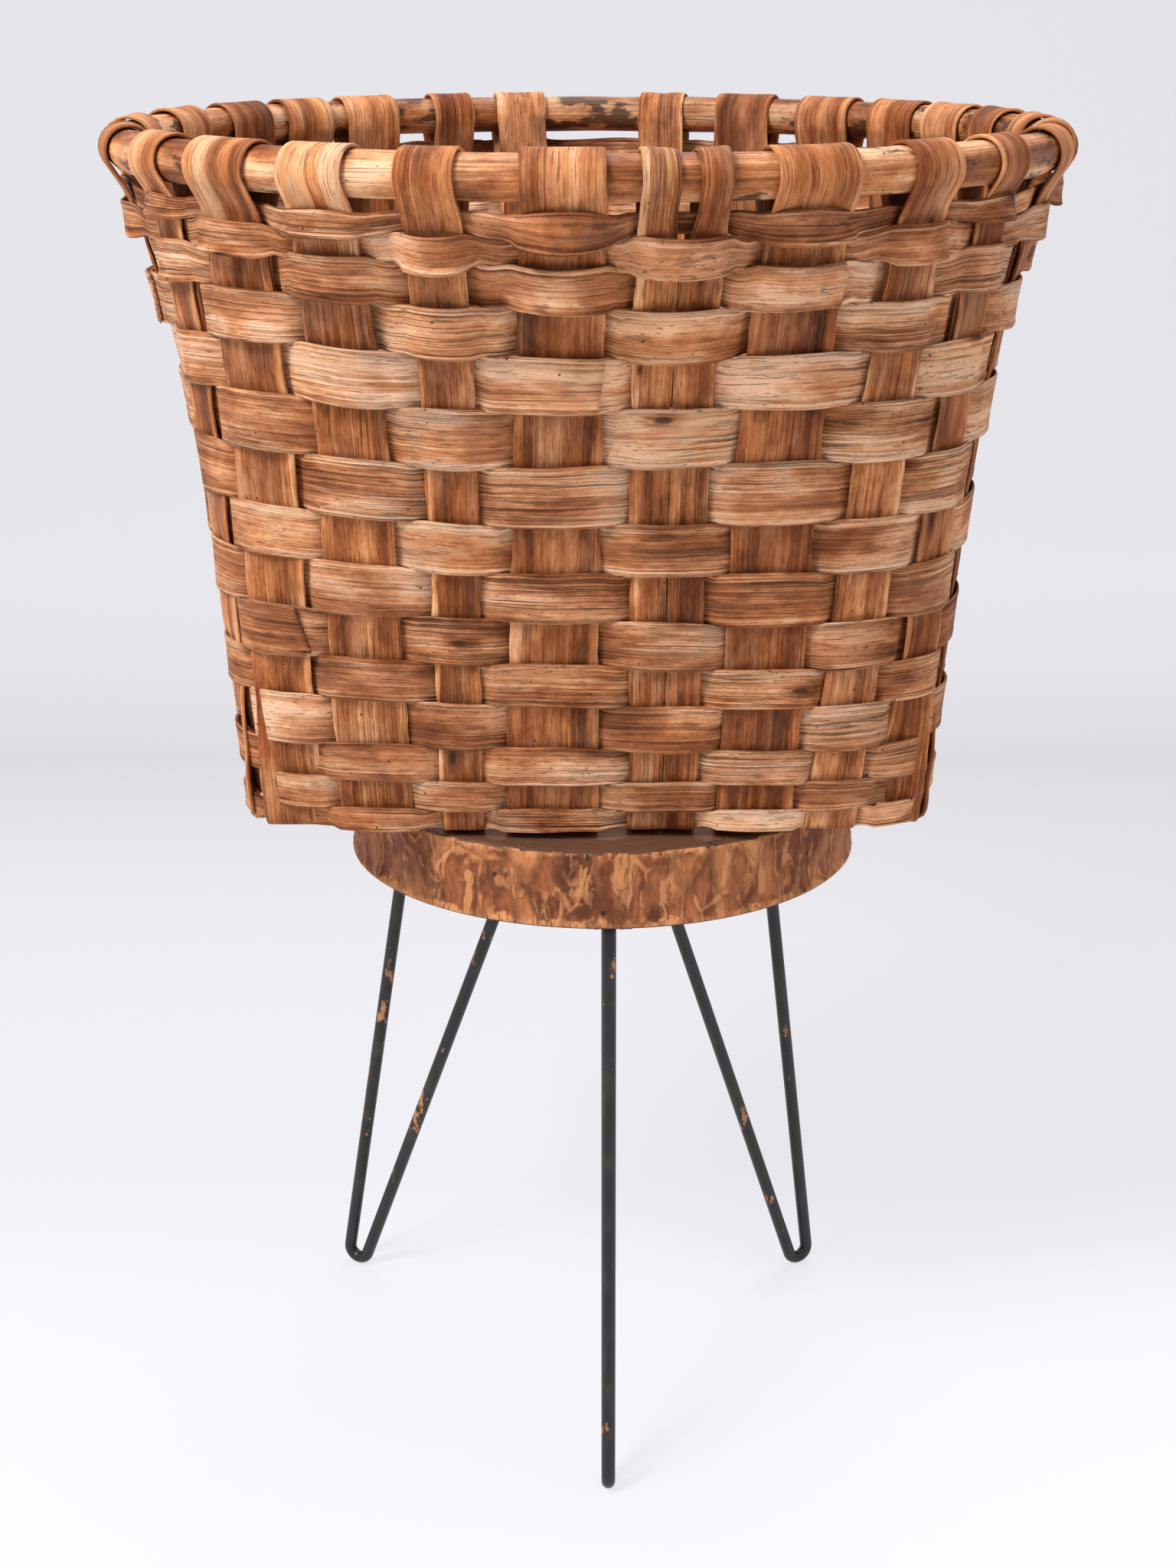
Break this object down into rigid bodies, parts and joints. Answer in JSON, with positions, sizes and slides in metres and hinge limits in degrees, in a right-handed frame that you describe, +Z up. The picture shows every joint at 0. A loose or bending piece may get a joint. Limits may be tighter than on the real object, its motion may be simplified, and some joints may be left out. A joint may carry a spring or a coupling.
{
  "type": "woven basket",
  "caption": "Round-rimmed woven wood splint basket with a rectangular base, standing on a round wood slab with three hairpin legs.",
  "frame": {"origin": "on the floor under the middle of the basket's round rim", "axes": "+Z up; -Y is the front, where one hairpin leg stands; +X to the right of someone who faces the front; the long side of the rectangular base runs along X"},
  "size_m": [0.6346, 0.6329, 0.9109],
  "materials": {
    "splint_wood": "dry split wood with lengthwise grain, warm orange brown, worm holes",
    "weaver_wood": "dry split wood, paler tan with darker streaks",
    "hoop_wood": "debarked round stick, worn smooth, dark bark marks",
    "slab_wood": "hewn trunk slice, matt reddish brown",
    "black_steel": "satin black paint with small rust chips",
    "screw_steel": "dull zinc"
  },
  "bodies": {
    "root": {"splint_long_1": "splint_wood", "splint_long_2": "splint_wood", "splint_long_3": "splint_wood", "splint_long_4": "splint_wood", "splint_long_5": "splint_wood", "splint_long_6": "splint_wood", "splint_long_7": "splint_wood", "splint_long_8": "splint_wood", "splint_cross_1": "splint_wood", "splint_cross_2": "splint_wood", "splint_cross_3": "splint_wood", "splint_cross_4": "splint_wood", "splint_cross_5": "splint_wood", "weaver_row_01": "weaver_wood", "weaver_row_02": "weaver_wood", "weaver_row_03": "weaver_wood", "weaver_row_04": "weaver_wood", "weaver_row_05": "weaver_wood", "weaver_row_06": "weaver_wood", "weaver_row_07": "weaver_wood", "weaver_row_08": "weaver_wood", "weaver_row_09": "weaver_wood", "weaver_row_10": "weaver_wood", "weaver_row_11": "weaver_wood", "weaver_row_12": "weaver_wood", "weaver_row_13": "weaver_wood", "weaver_row_14": "weaver_wood", "weaver_row_15": "weaver_wood", "rim_hoop": "hoop_wood", "stand_slab": "slab_wood", "hairpin_leg_front": "black_steel", "leg_plate_front": "black_steel", "leg_screw_front_1": "screw_steel", "leg_screw_front_2": "screw_steel", "leg_screw_front_3": "screw_steel", "leg_screw_front_4": "screw_steel", "hairpin_leg_left": "black_steel", "leg_plate_left": "black_steel", "leg_screw_left_1": "screw_steel", "leg_screw_left_2": "screw_steel", "leg_screw_left_3": "screw_steel", "leg_screw_left_4": "screw_steel", "hairpin_leg_right": "black_steel", "leg_plate_right": "black_steel", "leg_screw_right_1": "screw_steel", "leg_screw_right_2": "screw_steel", "leg_screw_right_3": "screw_steel", "leg_screw_right_4": "screw_steel", "base_screw_1": "screw_steel", "base_washer_1": "screw_steel", "base_screw_2": "screw_steel", "base_washer_2": "screw_steel", "base_screw_3": "screw_steel", "base_washer_3": "screw_steel", "base_screw_4": "screw_steel", "base_washer_4": "screw_steel"}
  },
  "joints": []
}
